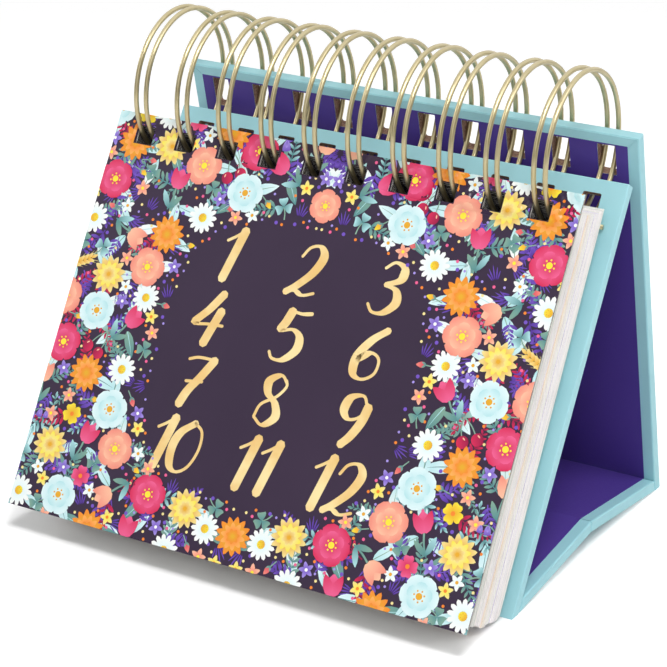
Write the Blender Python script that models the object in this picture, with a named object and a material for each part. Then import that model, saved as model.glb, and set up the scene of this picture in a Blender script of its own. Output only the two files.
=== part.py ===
"""Perpetual flip calendar on a hard-case folding easel, in metres, +Z up.

Four wrapped boards stand as an easel: a front board that leans back, a base folded in two with its crease
raised, and a back board. Ten twin loops of wire pass through both upright boards, the page block and the
cover. X runs along the width, the front faces -Y, and the table is Z = 0.
"""

import math

import bmesh
import bpy
from mathutils import Vector

# Boards
BOARD_MARGIN = 0.004
BOARD_THICKNESS = 0.003
FRONT_BOARD_LENGTH = 0.1102
BACK_EDGE_ABOVE_WIRE = 0.0084
BASE_DEPTH = 0.0883
FRONT_LEAN = math.radians(30.6)
CREASE_HEIGHT = 0.0049
BASE_END_HEIGHT = 0.00015
HINGE_GAP = 0.0003

# Wrap, core and lining of each board
WRAP_THICKNESS = 0.0004
LAYER_GAP = 0.0001
TURN_IN_SIDE = 0.0032
TURN_IN_TOP = 0.0026
TURN_IN_HINGE = 0.0006
TURN_IN_THICKNESS = 0.0003

# Twin-loop wire
LOOP_COUNT = 10
LOOP_PITCH = 0.0127
WIRE_RADIUS = 0.00065
RING_RADIUS = 0.020
RING_OUT = 0.0145
RING_ABOVE_EDGE = 0.00287
RING_TO_BACK_FACE = 0.018
TWIN_SPACING = 0.0031
RUN_DEPTH = 0.0011
TIP_DEPTH = 0.0034
POINTS_ON_ARC = 19
POINTS_ON_TIP = 3
WIRE_END_RUN = 0.0042

# Punched holes
HOLE_SIDE_ROOM = 0.0003
FRONT_HOLE_FROM_TOP = 0.0036
FRONT_HOLE_HEIGHT = 0.0088
BACK_HOLE_FROM_TOP = 0.0031
BACK_HOLE_HEIGHT = 0.0084
LEAF_HOLE_FROM_TOP = 0.0018
LEAF_HOLE_HEIGHT = 0.0048
COVER_HOLE_FROM_TOP = 0.0024
COVER_HOLE_HEIGHT = 0.0047

# Page block and cover, measured out from the front board's face
PACK_COUNT = 12
LEAF_MARGIN = 0.00235
LEAF_HEIGHT = 0.101
BLOCK_START = 0.0023
BLOCK_DEPTH = 0.0227
PACK_GAP = 0.00012
LEADING_LEAF_THICKNESS = 0.0003
COVER_THICKNESS = 0.0005
COVER_OVERHANG = 0.0008
COVER_HEIGHT = 0.1062
COVER_HANG = 0.0014
PROFILE_STEPS = 2


def clear_scene():
    for item in list(bpy.data.objects):
        bpy.data.objects.remove(item, do_unlink=True)


def collection(name):
    made = bpy.data.collections.new(name)
    bpy.context.scene.collection.children.link(made)
    return made


def material(name, colour, roughness, metallic=0.0):
    made = bpy.data.materials.new(name)
    made.use_nodes = True
    shader = made.node_tree.nodes["Principled BSDF"]
    shader.inputs["Base Color"].default_value = (*colour, 1.0)
    shader.inputs["Roughness"].default_value = roughness
    shader.inputs["Metallic"].default_value = metallic
    return made


def empty(name, place, turn_x=0.0, turn_z=0.0):
    """A joint's axis, or a board's own frame, whose Y runs in from the outer face and Z up the board."""
    made = bpy.data.objects.new(name, None)
    made.empty_display_size = 0.01
    made.location = (0.0, place.x, place.y)
    made.rotation_euler = (turn_x, 0.0, turn_z)
    PARTS.objects.link(made)
    return made


def prism(name, outline, width, where):
    """A closed solid with this side outline, (y, z) points, and this width along X, centred on X = 0."""
    mesh = bpy.data.meshes.new(name)
    form = bmesh.new()
    corners = [form.verts.new((-width / 2, y, z)) for y, z in outline]
    face = form.faces.new(corners)
    grown = bmesh.ops.extrude_face_region(form, geom=[face])
    moved = [item for item in grown["geom"] if isinstance(item, bmesh.types.BMVert)]
    bmesh.ops.translate(form, verts=moved, vec=(width, 0.0, 0.0))
    bmesh.ops.recalc_face_normals(form, faces=form.faces)
    form.to_mesh(mesh)
    form.free()
    made = bpy.data.objects.new(name, mesh)
    where.objects.link(made)
    return made


def cut(target, cutter):
    step = target.modifiers.new(cutter.name, "BOOLEAN")
    step.object = cutter
    step.operation = "DIFFERENCE"
    step.solver = "EXACT"


def as_cutter(item):
    item.hide_render = True
    item.display_type = "WIRE"
    return item


def place_in(item, frame, look):
    item.parent = frame
    item.data.materials.append(look)
    return item


class Board:
    """One wrapped board's outline in its own frame: y runs in from the outer face, z runs up the board.

    high is the length of the outer face. low_slope and high_slope say how far along the end face has moved where
    it reaches the inner face. turn_in_high is how far the wrap is turned in over the inner face at the high end.
    """

    def __init__(self, name, high, low_slope, high_slope, turn_in_high):
        self.name = name
        self.high = high
        self.low_slope = low_slope
        self.high_slope = high_slope
        self.turn_in_high = turn_in_high

    def end(self, depth, inset, at_high):
        """The length at a depth of an end face that is moved in by inset, square to the face."""
        slope = self.high_slope if at_high else self.low_slope
        start = self.high if at_high else 0.0
        shift = inset * math.hypot(1.0, slope / BOARD_THICKNESS)
        return start + slope * depth / BOARD_THICKNESS + (-shift if at_high else shift)

    def outline(self, outer, inner, low_inset, high_inset):
        return [
            (outer, self.end(outer, low_inset, False)),
            (inner, self.end(inner, low_inset, False)),
            (inner, self.end(inner, high_inset, True)),
            (outer, self.end(outer, high_inset, True)),
        ]

    def solids(self, frame):
        """The wrap, a tray with turned-in edges, the greyboard core in it and the lining over both."""
        shell = WRAP_THICKNESS
        core_inset = shell + LAYER_GAP
        core_inner = BOARD_THICKNESS - TURN_IN_THICKNESS - LAYER_GAP
        wrap = prism(f"{self.name}_wrap", self.outline(0.0, BOARD_THICKNESS, 0.0, 0.0), BOARD_WIDTH, PARTS)
        pocket = prism(
            f"{self.name}_pocket",
            self.outline(shell, BOARD_THICKNESS - TURN_IN_THICKNESS, shell, shell),
            BOARD_WIDTH - 2 * shell,
            CUTTERS,
        )
        window = prism(
            f"{self.name}_window",
            self.outline(BOARD_THICKNESS / 2, 2 * BOARD_THICKNESS, TURN_IN_HINGE, self.turn_in_high),
            BOARD_WIDTH - 2 * TURN_IN_SIDE,
            CUTTERS,
        )
        core = prism(
            f"{self.name}_core",
            self.outline(core_inset, core_inner, core_inset, core_inset),
            BOARD_WIDTH - 2 * core_inset,
            PARTS,
        )
        low_inset = TURN_IN_HINGE + LAYER_GAP
        high_inset = self.turn_in_high + LAYER_GAP
        lining = prism(
            f"{self.name}_lining",
            self.outline(core_inner + LAYER_GAP, BOARD_THICKNESS, low_inset, high_inset),
            BOARD_WIDTH - 2 * (TURN_IN_SIDE + LAYER_GAP),
            PARTS,
        )
        for cutter in (pocket, window):
            as_cutter(cutter).parent = frame
            cut(wrap, cutter)
        place_in(wrap, frame, TURQUOISE)
        place_in(core, frame, GREYBOARD)
        place_in(lining, frame, PURPLE)
        return [wrap, core, lining]


def loop_places():
    return [(number - (LOOP_COUNT - 1) / 2) * LOOP_PITCH for number in range(LOOP_COUNT)]


def punch(items, name, frame, outline_at):
    """Cuts the row of ten holes: outline_at gives one hole's side outline in the frame."""
    row = bpy.data.meshes.new(name)
    form = bmesh.new()
    outline = outline_at()
    for place in loop_places():
        corners = [form.verts.new((place - HOLE_WIDTH / 2, y, z)) for y, z in outline]
        face = form.faces.new(corners)
        grown = bmesh.ops.extrude_face_region(form, geom=[face])
        moved = [item for item in grown["geom"] if isinstance(item, bmesh.types.BMVert)]
        bmesh.ops.translate(form, verts=moved, vec=(HOLE_WIDTH, 0.0, 0.0))
    bmesh.ops.recalc_face_normals(form, faces=form.faces)
    form.to_mesh(row)
    form.free()
    cutter = bpy.data.objects.new(name, row)
    CUTTERS.objects.link(cutter)
    as_cutter(cutter).parent = frame
    for item in items:
        cut(item, cutter)


def board_holes(board, items, frame, from_top, height):
    top = board.high - from_top
    reach = BOARD_THICKNESS
    punch(
        items,
        f"{board.name}_holes",
        frame,
        lambda: [(-reach, top - height), (2 * reach, top - height), (2 * reach, top), (-reach, top)],
    )


def ring_height(depth):
    """How far up the front board the ring's lower half is, where it is this far out from the board."""
    return RING_UP - math.sqrt(RING_RADIUS**2 - (RING_OUT - depth) ** 2)


def leaf_top(depth):
    """The height of a leaf's top edge, for a leaf this far out: the wire runs through the middle of its holes."""
    return ring_height(depth) + LEAF_HOLE_HEIGHT / 2 + LEAF_HOLE_FROM_TOP


def pack_outline(near, far, low_drop, high_drop):
    """The side outline of what lies between two depths, from low_drop to high_drop below the top edges."""
    depths = [near + (far - near) * step / PROFILE_STEPS for step in range(PROFILE_STEPS + 1)]
    upper = [(-depth, leaf_top(depth) - high_drop) for depth in depths]
    lower = [(-depth, leaf_top(depth) - low_drop) for depth in reversed(depths)]
    return upper + lower


def page_piece(name, near, far, look):
    """A pack of leaves that hang together, punched for the wire."""
    body = prism(name, pack_outline(near, far, LEAF_HEIGHT, 0.0), LEAF_WIDTH, PARTS)
    place_in(body, FRONT_FRAME, look)
    outside = BOARD_THICKNESS
    slope_near = leaf_top(near)
    slope_far = leaf_top(far)
    high = LEAF_HOLE_FROM_TOP
    low = LEAF_HOLE_FROM_TOP + LEAF_HOLE_HEIGHT
    run = (slope_near - slope_far) / (far - near)
    punch(
        [body],
        f"{name}_holes",
        FRONT_FRAME,
        lambda: [
            (-(near - outside), slope_near + run * outside - high),
            (-(far + outside), slope_far - run * outside - high),
            (-(far + outside), slope_far - run * outside - low),
            (-(near - outside), slope_near + run * outside - low),
        ],
    )
    return body


def cover_piece():
    near = COVER_NEAR
    far = COVER_FAR
    low = COVER_TOP - COVER_HEIGHT
    body = prism("front_cover", [(-near, low), (-near, COVER_TOP), (-far, COVER_TOP), (-far, low)], COVER_WIDTH, PARTS)
    place_in(body, FRONT_FRAME, AUBERGINE)
    top = COVER_TOP - COVER_HOLE_FROM_TOP
    bottom = top - COVER_HOLE_HEIGHT
    outside = BOARD_THICKNESS
    punch(
        [body],
        "front_cover_holes",
        FRONT_FRAME,
        lambda: [(-near + outside, bottom), (-near + outside, top), (-far - outside, top), (-far - outside, bottom)],
    )
    return body


def ring_angle(depth):
    """The ring's angle, from the back round over the top, where it is this far out from the front board."""
    out = depth - RING_OUT
    up = -math.sqrt(RING_RADIUS**2 - out**2)
    place = OUT_FRONT * out + UP_FRONT * up
    return math.atan2(place.y, place.x)


def ring_point(x, angle):
    y = RING_CENTRE.x + RING_RADIUS * math.cos(angle)
    z = RING_CENTRE.y + RING_RADIUS * math.sin(angle)
    return Vector((x, y, z))


def twin_loop_path():
    """One unbroken wire: up the back, over and down the front to a hairpin tip, back again, then a short run."""
    run_angle = ring_angle(RUN_DEPTH)
    sweep = 2 * math.pi + ring_angle(TIP_DEPTH) - run_angle
    angles = [run_angle + sweep * step / POINTS_ON_ARC for step in range(POINTS_ON_ARC + 1)]
    path = []
    for place in loop_places():
        left = place - TWIN_SPACING / 2
        right = place + TWIN_SPACING / 2
        path += [ring_point(left, angle) for angle in angles]
        for step in range(1, POINTS_ON_TIP + 1):
            turn = math.pi * step / (POINTS_ON_TIP + 1)
            reach = TWIN_SPACING / 2 * math.sin(turn) / RING_RADIUS
            path.append(ring_point(place - TWIN_SPACING / 2 * math.cos(turn), angles[-1] + reach))
        path += [ring_point(right, angle) for angle in reversed(angles)]
    start = ring_point(loop_places()[0] - TWIN_SPACING / 2 - WIRE_END_RUN, run_angle)
    end = ring_point(loop_places()[-1] + TWIN_SPACING / 2 + WIRE_END_RUN, run_angle)
    return [start, *path, end]


def least_gap(path):
    """The least clear gap between stretches of the tube that aren't neighbours along it."""
    apart = math.ceil(4 * WIRE_RADIUS / (path[2] - path[1]).length) + POINTS_ON_TIP + 1
    nearest = min(
        (path[i] - path[j]).length for i in range(len(path)) for j in range(i + apart, len(path))
    )
    return nearest - 2 * WIRE_RADIUS


def twin_loop_wire():
    path = twin_loop_path()
    curve = bpy.data.curves.new("twin_loop_wire", "CURVE")
    curve.dimensions = "3D"
    curve.bevel_depth = WIRE_RADIUS
    curve.bevel_resolution = 1
    curve.use_fill_caps = True
    spline = curve.splines.new("POLY")
    spline.points.add(len(path) - 1)
    for point, place in zip(spline.points, path):
        point.co = (*place, 1.0)
    made = bpy.data.objects.new("twin_loop_wire", curve)
    made.data.materials.append(GOLD)
    PARTS.objects.link(made)
    print(f"twin_loop_wire: least gap to itself {1000 * least_gap(path):.2f} mm over {len(path)} points")
    return made


clear_scene()
PARTS = collection("desk_calendar")
CUTTERS = collection("cutters")

TURQUOISE = material("turquoise_wrap", (0.36, 0.72, 0.75), 0.5)
PURPLE = material("purple_lining", (0.05, 0.022, 0.20), 0.55)
GREYBOARD = material("greyboard", (0.35, 0.33, 0.30), 0.9)
GOLD = material("champagne_gold_wire", (0.72, 0.58, 0.33), 0.25, 1.0)
AUBERGINE = material("aubergine_card", (0.05, 0.025, 0.055), 0.25)
PAPER = material("page_paper", (0.86, 0.84, 0.80), 0.85)

# Widths, all from the row of holes
HOLE_WIDTH = TWIN_SPACING + 2 * (WIRE_RADIUS + HOLE_SIDE_ROOM)
LEAF_WIDTH = (LOOP_COUNT - 1) * LOOP_PITCH + HOLE_WIDTH + 2 * LEAF_MARGIN
BOARD_WIDTH = LEAF_WIDTH + 2 * BOARD_MARGIN
COVER_WIDTH = BOARD_WIDTH + 2 * COVER_OVERHANG

# The side view, as (y, z): both upright boards, the base between them and the ring
UP_FRONT = Vector((math.sin(FRONT_LEAN), math.cos(FRONT_LEAN)))
OUT_FRONT = Vector((-math.cos(FRONT_LEAN), math.sin(FRONT_LEAN)))
RING_UP = FRONT_BOARD_LENGTH + RING_ABOVE_EDGE
COVER_NEAR = BLOCK_START + BLOCK_DEPTH + LEADING_LEAF_THICKNESS + PACK_GAP
COVER_FAR = COVER_NEAR + COVER_THICKNESS
COVER_TOP = ring_height((COVER_NEAR + COVER_FAR) / 2) + COVER_HANG + COVER_HOLE_FROM_TOP
COVER_LOW_CORNER = UP_FRONT * (COVER_TOP - COVER_HEIGHT) + OUT_FRONT * COVER_FAR
FRONT_FOOT = Vector((-(COVER_LOW_CORNER.x + BASE_DEPTH) / 2, 0.0))
BACK_FOOT = FRONT_FOOT + Vector((BASE_DEPTH, 0.0))
CREASE = (FRONT_FOOT + BACK_FOOT) / 2 + Vector((0.0, CREASE_HEIGHT))
RING_CENTRE = FRONT_FOOT + UP_FRONT * RING_UP + OUT_FRONT * RING_OUT
TO_RING = RING_CENTRE - BACK_FOOT
BACK_LEAN = math.atan2(-TO_RING.x, TO_RING.y) - math.asin(RING_TO_BACK_FACE / TO_RING.length)
UP_BACK = Vector((-math.sin(BACK_LEAN), math.cos(BACK_LEAN)))
RING_TO_BACK_MIDDLE = RING_TO_BACK_FACE - BOARD_THICKNESS / 2
BACK_WIRE_HEIGHT = TO_RING.dot(UP_BACK) - math.sqrt(RING_RADIUS**2 - RING_TO_BACK_MIDDLE**2)
BACK_BOARD_LENGTH = BACK_WIRE_HEIGHT + BACK_EDGE_ABOVE_WIRE
BASE_FRONT_START = Vector(
    (
        FRONT_FOOT.x + (BOARD_THICKNESS + HINGE_GAP) / math.cos(FRONT_LEAN) + BASE_END_HEIGHT * math.tan(FRONT_LEAN),
        BASE_END_HEIGHT,
    )
)
BASE_REAR_START = Vector(
    (
        BACK_FOOT.x - (BOARD_THICKNESS + HINGE_GAP) / math.cos(BACK_LEAN) - BASE_END_HEIGHT * math.tan(BACK_LEAN),
        BASE_END_HEIGHT,
    )
)
FRONT_RISE = math.atan2(CREASE.y - BASE_FRONT_START.y, CREASE.x - BASE_FRONT_START.x)
REAR_RISE = math.atan2(CREASE.y - BASE_REAR_START.y, BASE_REAR_START.x - CREASE.x)
FRONT_BASE_LENGTH = (CREASE - BASE_FRONT_START).length - HINGE_GAP / 2 / math.cos(FRONT_RISE)
REAR_BASE_LENGTH = (CREASE - BASE_REAR_START).length - HINGE_GAP / 2 / math.cos(REAR_RISE)
FRONT_HINGE = BASE_FRONT_START + UP_FRONT * BOARD_THICKNESS / math.cos(FRONT_LEAN + FRONT_RISE)
REAR_HINGE = BASE_REAR_START + UP_BACK * BOARD_THICKNESS / math.cos(BACK_LEAN + REAR_RISE)

FRONT_FRAME = empty("front_board_frame", FRONT_FOOT, -FRONT_LEAN)
BACK_FRAME = empty("back_board_frame", BACK_FOOT, -BACK_LEAN, math.pi)
BASE_FRONT_FRAME = empty("base_front_frame", BASE_FRONT_START, math.pi / 2 - FRONT_RISE, math.pi)
BASE_REAR_FRAME = empty("base_rear_frame", BASE_REAR_START, math.pi / 2 - REAR_RISE)
for axis_name, axis_place in (
    ("front_hinge_axis", FRONT_HINGE),
    ("crease_axis", CREASE),
    ("rear_hinge_axis", REAR_HINGE),
    ("ring_axis", RING_CENTRE),
):
    empty(axis_name, axis_place)
    print(f"{axis_name}: y {1000 * axis_place.x:.3f} mm, z {1000 * axis_place.y:.3f} mm")
print(f"back board: lean {math.degrees(BACK_LEAN):.2f} degrees, length {1000 * BACK_BOARD_LENGTH:.2f} mm")

front_board = Board("front_board", FRONT_BOARD_LENGTH, BOARD_THICKNESS * math.tan(FRONT_LEAN), 0.0, TURN_IN_TOP)
back_board = Board("back_board", BACK_BOARD_LENGTH, BOARD_THICKNESS * math.tan(BACK_LEAN), 0.0, TURN_IN_TOP)
base_front = Board(
    "base_front",
    FRONT_BASE_LENGTH,
    BOARD_THICKNESS * math.tan(FRONT_LEAN + FRONT_RISE),
    BOARD_THICKNESS * math.tan(FRONT_RISE),
    TURN_IN_HINGE,
)
base_rear = Board(
    "base_rear",
    REAR_BASE_LENGTH,
    BOARD_THICKNESS * math.tan(BACK_LEAN + REAR_RISE),
    BOARD_THICKNESS * math.tan(REAR_RISE),
    TURN_IN_HINGE,
)
board_holes(front_board, front_board.solids(FRONT_FRAME), FRONT_FRAME, FRONT_HOLE_FROM_TOP, FRONT_HOLE_HEIGHT)
board_holes(back_board, back_board.solids(BACK_FRAME), BACK_FRAME, BACK_HOLE_FROM_TOP, BACK_HOLE_HEIGHT)
base_front.solids(BASE_FRONT_FRAME)
base_rear.solids(BASE_REAR_FRAME)

twin_loop_wire()
PACK_PITCH = BLOCK_DEPTH / PACK_COUNT
for month in range(1, PACK_COUNT + 1):
    pack_near = BLOCK_START + (PACK_COUNT - month) * PACK_PITCH
    page_piece(f"month_pack_{month:02d}", pack_near, pack_near + PACK_PITCH - PACK_GAP, PAPER)
LEAF_NEAR = BLOCK_START + BLOCK_DEPTH
page_piece("leading_leaf", LEAF_NEAR, LEAF_NEAR + LEADING_LEAF_THICKNESS, PAPER)
cover_piece()
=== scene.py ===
"""Looks of the desk calendar: paper-wrapped boards, satin gold wire, a block of tinted leaves and a printed cover.

Every piece is made in a board's own frame, where X runs along the width, Y runs into the board from its outer
face and Z runs up it, and is then put in its place in the mesh.
"""

import math
import random

import bmesh
import bpy
from mathutils import Matrix, Vector


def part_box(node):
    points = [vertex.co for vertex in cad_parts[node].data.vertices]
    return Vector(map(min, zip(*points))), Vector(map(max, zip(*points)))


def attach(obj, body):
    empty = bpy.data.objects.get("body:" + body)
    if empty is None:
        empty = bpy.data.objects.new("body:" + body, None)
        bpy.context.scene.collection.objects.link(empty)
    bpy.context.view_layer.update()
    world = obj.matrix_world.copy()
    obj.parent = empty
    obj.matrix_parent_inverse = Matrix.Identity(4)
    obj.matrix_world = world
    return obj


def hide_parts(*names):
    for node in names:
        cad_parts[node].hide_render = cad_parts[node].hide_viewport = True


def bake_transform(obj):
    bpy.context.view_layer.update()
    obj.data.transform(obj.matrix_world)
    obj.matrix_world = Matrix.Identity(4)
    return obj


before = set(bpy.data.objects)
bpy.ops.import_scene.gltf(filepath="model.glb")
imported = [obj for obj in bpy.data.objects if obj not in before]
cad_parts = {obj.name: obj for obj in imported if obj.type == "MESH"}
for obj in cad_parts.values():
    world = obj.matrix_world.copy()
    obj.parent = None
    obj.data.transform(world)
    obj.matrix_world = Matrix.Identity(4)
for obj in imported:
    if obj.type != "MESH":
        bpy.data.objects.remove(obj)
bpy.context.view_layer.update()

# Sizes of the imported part, in metres
BOARD_WIDTH = 0.132
BOARD_THICKNESS = 0.003
FRONT_LENGTH = 0.1102
FRONT_LEAN = math.radians(30.6)
BASE_DEPTH = 0.0883
CREASE_HEIGHT = 0.0049
BASE_END_HEIGHT = 0.00015
HINGE_GAP = 0.0003
LOOP_COUNT = 10
LOOP_PITCH = 0.0127
WIRE_RADIUS = 0.00065
RING_RADIUS = 0.020
RING_OUT = 0.0145
RING_UP = 0.11307
RING_TO_BACK_FACE = 0.018
BACK_EDGE_ABOVE_WIRE = 0.0084
TWIN_SPACING = 0.0031
RUN_DEPTH = 0.0011
TIP_DEPTH = 0.0034
WIRE_END_RUN = 0.0042
HOLE_WIDTH = 0.005
FRONT_HOLE_TOP = FRONT_LENGTH - 0.0036
FRONT_HOLE_LOW = FRONT_HOLE_TOP - 0.0088
LEAF_HOLE_FROM_TOP = 0.0018
LEAF_HOLE_HEIGHT = 0.0048
LEAF_WIDTH = 0.124
LEAF_HEIGHT = 0.101
BLOCK_START = 0.0023
BLOCK_DEPTH = 0.0227
PACK_COUNT = 12
PACK_GAP = 0.00012
LEADING_LEAF = 0.0003
COVER_THICKNESS = 0.0005
COVER_WIDTH = 0.1336
COVER_HEIGHT = 0.1062
COVER_HANG = 0.0014
COVER_HOLE_FROM_TOP = 0.0024
COVER_HOLE_HEIGHT = 0.0047

# Sizes that only the looks have
EDGE_ROUND = 0.0003
BAND_SIDE = 0.0031
BAND_TOP = 0.0027
FLAP = 0.0048
PAPER = 0.0001
MITRE_GAP = 0.0003
HINGE_SHADOW = 0.0004
LEAVES_A_PACK = 9
TOP_FLAP = 1.85 * PAPER
LEAF_SHARE = 0.94
LEAF_EDGE_WAVE = 0.00035
LEAF_EDGE_UNEVEN = 0.0002
LEAF_ASIDE = 0.00018
LEAF_UP = 0.00012
DEEP_HOLES_FROM = 0.019
DEEPER = 0.0013
LEAN_FROM = 0.010
LEAN_OVER = 0.014
WIRE_SWAY = (0.88, 1.13)
WIRE_ASIDE = -0.0007
WIRE_ASIDE_BEHIND = -0.00025
WIRE_ROOM = 0.00235
COVER_RISE = 0.0004
LEAF_LIFT = ((0.0, 0.0010), (0.0080, 0.00125), (0.0170, 0.00065), (0.0200, 0.0))

# Places

UP_FRONT = Vector((math.sin(FRONT_LEAN), math.cos(FRONT_LEAN)))
OUT_FRONT = Vector((-math.cos(FRONT_LEAN), math.sin(FRONT_LEAN)))
FRONT_FOOT = Vector((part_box("front_board_wrap")[0].y, 0.0))
BACK_FOOT = FRONT_FOOT + Vector((BASE_DEPTH, 0.0))
CREASE = (FRONT_FOOT + BACK_FOOT) / 2 + Vector((0.0, CREASE_HEIGHT))
RING_CENTRE = FRONT_FOOT + UP_FRONT * RING_UP + OUT_FRONT * RING_OUT
TO_RING = RING_CENTRE - BACK_FOOT
BACK_LEAN = math.atan2(-TO_RING.x, TO_RING.y) - math.asin(RING_TO_BACK_FACE / TO_RING.length)
UP_BACK = Vector((-math.sin(BACK_LEAN), math.cos(BACK_LEAN)))
OUT_BACK = Vector((math.cos(BACK_LEAN), math.sin(BACK_LEAN)))
RING_TO_MIDDLE = RING_TO_BACK_FACE - BOARD_THICKNESS / 2
BACK_LENGTH = TO_RING.dot(UP_BACK) - math.sqrt(RING_RADIUS**2 - RING_TO_MIDDLE**2) + BACK_EDGE_ABOVE_WIRE
BACK_HOLE_TOP = BACK_LENGTH - 0.0031
BACK_HOLE_LOW = BACK_HOLE_TOP - 0.0084
END_SLACK = BOARD_THICKNESS + HINGE_GAP
BASE_FRONT_Y = FRONT_FOOT.x + END_SLACK / math.cos(FRONT_LEAN) + BASE_END_HEIGHT * math.tan(FRONT_LEAN)
BASE_REAR_Y = BACK_FOOT.x - END_SLACK / math.cos(BACK_LEAN) - BASE_END_HEIGHT * math.tan(BACK_LEAN)
FRONT_RUN = CREASE - Vector((BASE_FRONT_Y, BASE_END_HEIGHT))
REAR_RUN = CREASE - Vector((BASE_REAR_Y, BASE_END_HEIGHT))
FRONT_RISE = math.atan2(FRONT_RUN.y, FRONT_RUN.x)
REAR_RISE = math.atan2(REAR_RUN.y, -REAR_RUN.x)
FRONT_BASE_LENGTH = FRONT_RUN.length - HINGE_GAP / 2 / math.cos(FRONT_RISE)
REAR_BASE_LENGTH = REAR_RUN.length - HINGE_GAP / 2 / math.cos(REAR_RISE)


def board_place(y, z, turn_x, turn_z=0.0):
    """The matrix that puts a piece made in a board's own frame in its place."""
    return Matrix.Translation((0.0, y, z)) @ Matrix.Rotation(turn_z, 4, "Z") @ Matrix.Rotation(turn_x, 4, "X")


FRONT = board_place(FRONT_FOOT.x, 0.0, -FRONT_LEAN)
BACK = board_place(BACK_FOOT.x, 0.0, -BACK_LEAN, math.pi)
BASE_FRONT = board_place(BASE_FRONT_Y, BASE_END_HEIGHT, math.pi / 2 - FRONT_RISE, math.pi)
BASE_REAR = board_place(BASE_REAR_Y, BASE_END_HEIGHT, math.pi / 2 - REAR_RISE)
LOOPS = [(number - (LOOP_COUNT - 1) / 2) * LOOP_PITCH for number in range(LOOP_COUNT)]


def ring_height(depth):
    """How far up the front board the lower half of the ring is, this far out from the board."""
    return RING_UP - math.sqrt(RING_RADIUS**2 - (RING_OUT - depth) ** 2)


def leaf_top(depth):
    return ring_height(depth) + LEAF_HOLE_HEIGHT / 2 + LEAF_HOLE_FROM_TOP


def leaf_lift(depth):
    """How much more paper the leaves at this depth have above their holes. The front ones sit lower on the wire."""
    for (near, low), (far, high) in zip(LEAF_LIFT, LEAF_LIFT[1:]):
        if depth <= far:
            return low + (high - low) * (depth - near) / (far - near)
    return 0.0


def splay(depth, share_down):
    """How far the leaves stand aside: most at the foot of the block, against the board."""
    return (0.0004 + 0.0013 * share_down) * (1 - 0.75 * depth / (BLOCK_START + BLOCK_DEPTH))


def lean(depth):
    """How far the wire leans aside at this distance from the front board: most at its front."""
    share = min(max((depth - LEAN_FROM) / LEAN_OVER, 0.0), 1.0)
    return WIRE_ASIDE_BEHIND + (WIRE_ASIDE - WIRE_ASIDE_BEHIND) * share


def hole_walls(depth, aside=0.0):
    """Both walls of a hole, from its loop's middle, with room for the wire at rest and turned right over."""
    leans = (lean(depth), lean(2 * RING_OUT - depth))
    return min(leans) - WIRE_ROOM - aside, max(leans) + WIRE_ROOM - aside


COVER_NEAR = BLOCK_START + BLOCK_DEPTH + LEADING_LEAF + PACK_GAP
COVER_FAR = COVER_NEAR + COVER_THICKNESS
COVER_TOP = ring_height((COVER_NEAR + COVER_FAR) / 2) + COVER_HANG + COVER_HOLE_FROM_TOP
COVER_LOW = COVER_TOP - COVER_HEIGHT
COVER_HOLE_TOP = COVER_TOP - COVER_HOLE_FROM_TOP - COVER_RISE
COVER_HOLES = (COVER_HOLE_TOP - COVER_HOLE_HEIGHT, COVER_HOLE_TOP)
COVER_TOP += COVER_RISE
COVER_MIDDLE = (COVER_LOW + COVER_TOP) / 2


# Finishes


class Value:
    """A number that changes over a surface. Arithmetic on it adds Math nodes."""

    def __init__(self, finish, socket):
        self.finish = finish
        self.socket = socket

    def maths(self, operation, *others):
        return self.finish.node("ShaderNodeMath", {"operation": operation}, dict(enumerate((self, *others))))

    def __add__(self, other):
        return self.maths("ADD", other)

    __radd__ = __add__

    def __mul__(self, other):
        return self.maths("MULTIPLY", other)

    __rmul__ = __mul__

    def __sub__(self, other):
        return self.maths("SUBTRACT", other)

    def __rsub__(self, other):
        return (self * -1.0) + other

    def above(self, edge, softness):
        """0 below the edge and 1 above it, with a soft step."""
        return self.finish.node(
            "ShaderNodeMapRange",
            {"interpolation_type": "SMOOTHSTEP"},
            {"Value": self, "From Min": edge - softness, "From Max": edge + softness},
        )


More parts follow.
